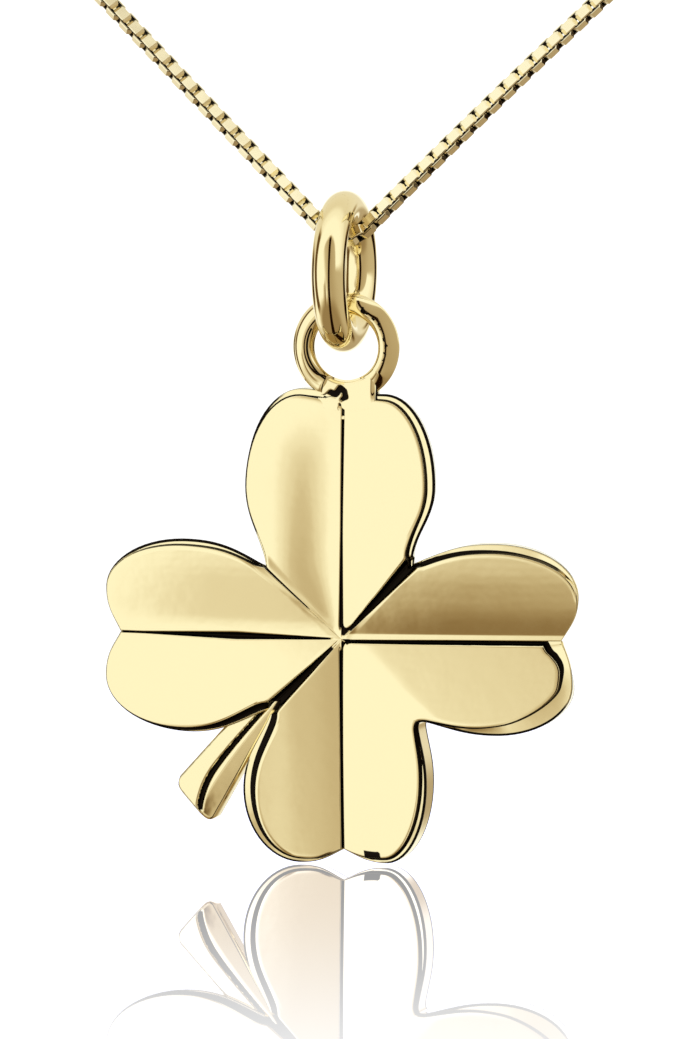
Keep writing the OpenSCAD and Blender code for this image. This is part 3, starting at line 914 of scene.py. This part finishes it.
def build_eyelet():
    """The wire's section at turn a and wire angle b: out by R + w cos b and forward by w sin b. Towards
    the foot its front is flattened to the face, and then it goes under the solder. The right limb is
    worn to a facet that leans outward: its front is w sin b (1 - f) (1 - k cos b). Painted shade draws
    a crease down the left limb and a row of pits down the right, which sways and varies as the sines of
    the turn."""
    a, b = ring_angles(RING_ROWS)
    from_foot = abs(a - 1.5 * math.pi)
    flat = flat_share * smooth(from_foot, FLAT_FROM, FLAT_ALL)
    sunk = flat + (1 - flat_share) * smooth(from_foot, UNDER_FROM, UNDER_ALL)
    wire_r = eyelet_wire / 2
    worn = smooth(np.cos(a), *FACET_FROM_TO)
    front = (1 - np.maximum(sunk, facet_flat * worn)) * (1 - facet_skew * worn * np.cos(b))
    forward = wire_r * np.sin(b) * np.where(np.sin(b) > 0, front, 1)
    ring_r = ring_out / 2 - wire_r + wire_r * np.cos(b)
    x, z = ring_r * np.cos(a) + ring_aside, ring_r * np.sin(a)
    points = np.stack([x, -forward, z], axis=-1) + eyelet_centre

    turn, section = np.degrees(a), np.degrees(b)
    crease = abs(section - crease_at) < crease_half_w
    crease = crease * (turn > CREASE_TURNS[0]) * (turn < CREASE_TURNS[1])
    turn = (turn + 180) % 360 - 180
    uneven = sum(size * np.sin(pace * turn + start) for pace, start, size in GAP_WAVES)
    big = abs(turn - big_pit_at) < big_pit_reach
    half_w = pit_half_w + pit_varies * np.sin(vary_pace * turn) + big_pit_more * big
    pits = abs(section - pits_at + pits_sway * np.sin(sway_pace * turn)) < half_w
    pits = pits * (turn > PIT_TURNS[0]) * (turn < PIT_TURNS[1]) * (uneven > gaps_below)
    faces = torus_faces(*points.shape[:2])
    return add_mesh("eyelet", points, [faces], clover_gold, np.maximum(crease, pits))


def foot_marks(place):
    """Painted shade of the crack and the pit: one within the half width of their lines, and none
    beyond.
    The half width goes evenly from each point to the next."""
    nearness = []
    for line in (np.array(FOOT_CRACK), np.array(FOOT_PIT)):
        for here, step in zip(line[:-1], np.diff(line, axis=0)):
            off, way = place - here[:2], step[:2]
            share = np.clip((off @ way) / (way @ way), 0, 1)
            gap = np.linalg.norm(off - share[..., None] * way, axis=-1)
            nearness.append(gap / (here[2] + share * step[2]))
    return 1 - smooth(np.min(nearness, axis=0), *MARK_EDGE)


def build_foot():
    """The solder, between the lower edge of the hole and a line across the leaf. Its height is that of
    the leaf's face. It sinks into the wire at its upper sides and fades into the leaf below, and its
    marks, darkened with painted shade, are sunk too."""
    a = np.linspace(*FOOT_ANGLES, FOOT_COLUMNS)
    hole_r = ring_out / 2 - eyelet_wire * hole_wire_share
    hole = np.stack([hole_r * np.cos(a) + ring_aside, hole_r * np.sin(a)], axis=1)
    start = hole / MM + [0, eyelet_over_leaves / MM]
    stop = np.linspace((foot_left, foot_low), (foot_right, foot_low), FOOT_COLUMNS)
    t = np.linspace(0, 1, FOOT_ROWS)[:, None, None]
    place = start + t * (stop - start)
    x, z = place[..., 0], place[..., 1]
    right_face = face_height(1, np.stack([z, np.maximum(x, 0)], axis=-1))
    left_face = face_height(2, np.stack([z, np.maximum(-x, 0)], axis=-1))
    to_right = np.linspace(-1, 1, FOOT_COLUMNS)
    aside, down = abs(to_right), t[..., 0]
    fade = np.maximum(smooth(down, *FADE_DOWN), smooth(aside, *FADE_ASIDE) * smooth(down, *FADE_CORNER))
    dive = smooth(aside, *DIVE_ASIDE) * (1 - smooth(down, *DIVE_DOWN))
    h = np.where(x > 0, right_face, left_face) + foot_proud - foot_fade * fade - foot_dive * dive
    h = h - foot_lip * (1 - smooth(down, *LIP_DOWN))
    seam = smooth(to_right, *SEAM_ASIDE) * (z < seam_high) * (z > seam_low)
    painted_shade = np.maximum(foot_marks(place), seam)
    h = h - mark_d * painted_shade

    front = np.stack([x, back_to_eyelet - h, z], axis=-1)
    back = front * [1, 0, 1] + [0, back_to_eyelet - foot_back_h, 0]
    points = np.concatenate([front.reshape(-1, 3), back.reshape(-1, 3)]) * MM + clover_centre
    index, top = open_grid(*x.shape)
    sides = skirt(border(index), border(index) + index.size)
    under = top[:, ::-1] + index.size
    dark = np.append(painted_shade.ravel(), np.zeros(index.size))
    return add_mesh("eyelet_foot", points, [top, sides, under], clover_gold, dark)


for piece in (build_eyelet(), build_foot()):
    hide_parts("clover")
    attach(piece, "pendant")


# Jump ring
# A heavy ring of round wire, soldered shut, that runs from front to back through the eyelet and
# over the chain.
BAIL_ROWS = 192
ring_gold = gold("ring_gold", GOLD, 0.06)


def build_bail():
    """A round wire on a circle that faces sideways: back and up by (R + w cos b) times (cos a,
    sin a), and sideways by w sin b."""
    wire_r = (bail_high[0] - bail_low[0]) / 2
    a, b = ring_angles(BAIL_ROWS)
    ring_r = (bail_high[2] - bail_low[2]) / 2 - wire_r + wire_r * np.cos(b)
    side = wire_r * np.sin(b) + 0 * a
    points = np.stack([side, ring_r * np.cos(a), ring_r * np.sin(a)], axis=-1) + bail_centre
    return add_mesh("jump_ring", points, [torus_faces(*points.shape[:2])], ring_gold)


bail = build_bail()
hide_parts("bail")
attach(bail, "jump_ring")


# Chain
# A fine box chain: square links of flat strip, each turned a quarter from the last, taut through
# one another in one closed loop that bends under the jump ring.
link_w = 0.6 * MM
link_l = 0.7 * MM
link_round = 0.09 * MM
strip_t = 0.161 * MM
strip_w = 0.41 * MM
strip_chamfer = 0.025 * MM
# Painted shade on the strip's narrow sides, as a share; the inside of each link is wholly dark.
strip_side_shade = 0.3
mitre = 0.414
LEAN_LEFT, LEAN_RIGHT = math.radians(40), math.radians(24)
lean_change = 1 * MM
tangent_reach = 0.2 * MM
V_HALF = math.pi / 4
ARM_POINTS, WRAP_POINTS = 2000, 60
chain_gold = gold("chain_gold", (0.985, 0.9, 0.65), 0.16, shade_painted=True)


def chain_route():
    """The loop in plan is a circle of radius A, and the height falls with the square of the way
    back: x = A sin(t), y = -A (1 + cos t), z = D (2 t/pi - (t/pi)^2 - 1) for t from 0 at the front
    to pi at the nape. Under the ring's wire the V is rounded off by an arc."""
    joints = frame["record"]["behaviour"]["joints"]
    hang = np.array(next(joint for joint in joints if joint["name"] == "bail_swing")["pos_m"])
    loop_r = -hang[1] / 2
    drop = loop_r * math.pi / 2
    wrap_r = bail_high[2] - (bail_high[0] - bail_low[0]) / 2 - hang[2]
    clasp_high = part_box("clasp")[1]
    first = math.asin(wrap_r * math.sin(V_HALF) / loop_r)
    last = math.pi - math.asin(clasp_high[0] / loop_r)
    t = np.linspace(first, last, ARM_POINTS)
    share = t / math.pi
    z = drop * (2 * share - share**2 - 1)
    arm = np.stack([loop_r * np.sin(t), -loop_r * (1 + np.cos(t)), z], axis=1)
    a = np.linspace(-V_HALF, V_HALF, WRAP_POINTS)[1:-1]
    wrap = hang + wrap_r * np.stack([np.sin(a), 0 * a, 1 - np.cos(a)], axis=1)
    other = arm * [-1, 1, 1]
    return np.concatenate([other[::-1], wrap, arm]), loop_r


def place_links(route, loop_r):
    """The place of each link, the way along it and the two ways across. The strips of the odd links
    face sideways and the others forward, and all lean by an angle that differs on the two arms."""
    steps = np.linalg.norm(np.diff(route, axis=0), axis=1)
    length = np.concatenate([[0], np.cumsum(steps)])
    count = round(length[-1] / (link_l - 2 * strip_t))
    at = (np.arange(count) + 0.5) * length[-1] / count
    place, ahead, behind = (
        np.stack([np.interp(at + off, length, route[:, k]) for k in range(3)], axis=1)
        for off in (0, tangent_reach, -tangent_reach))
    along = unit(ahead - behind)
    up = unit(np.cross(place * [1, 1, 0] + [0, loop_r, 0], along))
    front = np.cross(along, up)
    right = (1 + np.tanh(place[:, :1] / lean_change)) / 2
    lean = LEAN_LEFT + (LEAN_RIGHT - LEAN_LEFT) * right
    facing = np.cos(lean) * front + np.sin(lean) * up
    side = np.cross(along, facing)
    odd = (np.arange(count) % 2 == 1)[:, None]
    return place, along, np.where(odd, side, facing), np.where(odd, -facing, side)


def octagon(x, y, short_x, short_y):
    """A rectangle of half sides x and y whose corners are cut back to the short half sides."""
    return np.array([
        (x, short_y), (short_x, y), (-short_x, y), (-x, short_y),
        (-x, -short_y), (-short_x, -y), (short_x, -y), (x, -short_y),
    ])


def link_shape():
    """The strip's section, chamfered, carried round a rectangle with cut corners: points along,
    across and through, quads, and painted shade that is full inside the link."""
    half_l, half_w, c = link_l / 2 - strip_t / 2, link_w / 2 - strip_t / 2, link_round
    path = octagon(half_l, half_w, half_l - c, half_w - c)
    outward = octagon(1, 1, mitre, mitre)
    thin, wide, e = strip_t / 2, strip_w / 2, strip_chamfer
    section = np.roll(octagon(thin, wide, thin - e, wide - e)[::-1], -3, axis=0)
    ring = path[:, None, :] + section[None, :, :1] * outward[:, None, :]
    through = np.broadcast_to(section[None, :, 1:], (*ring.shape[:2], 1))
    link = np.concatenate([ring, through], axis=2).reshape(-1, 3)
    is_side = section[:, 0] < thin - e / 2
    tone = np.where(section[:, 0] < 0, 1, strip_side_shade * is_side)
    return link, torus_faces(len(path), len(section)), np.tile(tone, len(path))


def build_chain():
    """One link at each place p: p + x along + y across + z through."""
    place, along, through, across = place_links(*chain_route())
    link, faces, tone = link_shape()
    points = (place[:, None] + link[None, :, :1] * along[:, None]
              + link[None, :, 1:2] * across[:, None] + link[None, :, 2:] * through[:, None])
    count = len(place)
    all_faces = (faces[None] + np.arange(count)[:, None, None] * len(link)).reshape(-1, 4)
    painted_shade = np.tile(tone, count)
    return add_mesh("box_chain", points, [all_faces], chain_gold, painted_shade, flat=True)


chain = build_chain()
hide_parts("chain")
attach(chain, "necklace")


# Clasp
# A barrel clasp that closes the loop at the nape, which the photograph leaves out: a turned barrel in
# two halves that screw together at the middle, with a fluted grip and a beaded collar at each end.
# Lengths are in mm, and the profile goes from one end to the middle.
BARREL = [
    (0, 0), (0, 0.3), (0.04, 0.4), (0.2, 0.5), (0.34, 0.5), (0.42, 0.44), (0.5, 0.6), (0.62, 0.85),
    (0.8, 1.02), (1.0, 1.1), (1.12, 1.1), (1.16, 1.0), (1.24, 1.0), (1.28, 1.12), (1.3, 1.15),
    (3.3, 1.15), (3.33, 1.12), (3.36, 1.04), (3.44, 1.04), (3.48, 1.12), (3.52, 1.15), (3.92, 1.15),
    (3.96, 1.12), (4.0, 1.06),
]
GRIP = (1.3, 3.3)
grip_r = 1.15
GRIP_ROWS = 14
flutes = 28
flute_d = 0.05
# Painted shade in the hollows of the flutes, where the ridge falls below this.
flute_shade = 0.25

# From the middle outward: the seam, where the flutes begin and end, and the collar. The seam and the
# collar are grooves darkened with painted shade.
seam_half_w = 0.01
FLUTES_BEGIN, FLUTES_END = (0.75, 0.95), (2.5, 2.7)
collar_at, collar_half_w = 2.8, 0.05
barrel_columns = flutes * 8


def build_clasp():
    """The profile, its mirror image, and a turn about the barrel's own line: r = profile - flute depth
    (1 - |cos(n a / 2)|) between the ends of the grip."""
    low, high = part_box("clasp")
    centre = (np.array(low) + np.array(high)) / 2
    half_l = BARREL[-1][0]
    scale = (high[0] - low[0]) / (2 * half_l) / MM
    grip = np.linspace(*GRIP, GRIP_ROWS)[1:-1]
    profile = np.concatenate([BARREL, np.stack([grip, np.full(len(grip), grip_r)], axis=1)])
    profile = profile[np.argsort(profile[:, 0], kind="stable")]
    x = np.concatenate([-half_l + profile[:, 0], half_l - profile[-2::-1, 0]])
    r = np.concatenate([profile[:, 1], profile[-2::-1, 1]])
    a = np.linspace(0, 2 * math.pi, barrel_columns, endpoint=False)[None, :]
    fluted = smooth(abs(x), *FLUTES_BEGIN) * (1 - smooth(abs(x), *FLUTES_END))
    ridge = abs(np.cos(flutes * a / 2))
    radius = r[:, None] - flute_d * fluted[:, None] * (1 - ridge)
    grid = np.stack([x[:, None] + 0 * a, radius * np.cos(a), radius * np.sin(a)], axis=-1)
    seams = (abs(x) < seam_half_w) | (abs(abs(x) - collar_at) < collar_half_w)
    shade_painted = fluted[:, None] * (ridge < flute_shade) + seams[:, None]
    grid, shade_painted = grid[1:-1], shade_painted[1:-1]
    rows, columns = shade_painted.shape
    ends = np.array([[x[0], 0, 0], [x[-1], 0, 0]])
    points = np.concatenate([grid.reshape(-1, 3), ends]) * MM * scale + centre
    near_end = fan(rows * columns, 0, columns)[:, [0, 2, 1]]
    far_end = fan(rows * columns + 1, (rows - 1) * columns, columns)
    faces = [tube_faces(rows, columns)[:, ::-1], near_end, far_end]
    painted_shade = np.append(np.minimum(shade_painted, 1.0).ravel(), [0, 0])
    return add_mesh("barrel_clasp", points, faces, chain_gold, painted_shade)


clasp = build_clasp()
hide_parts("clasp")
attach(clasp, "necklace")
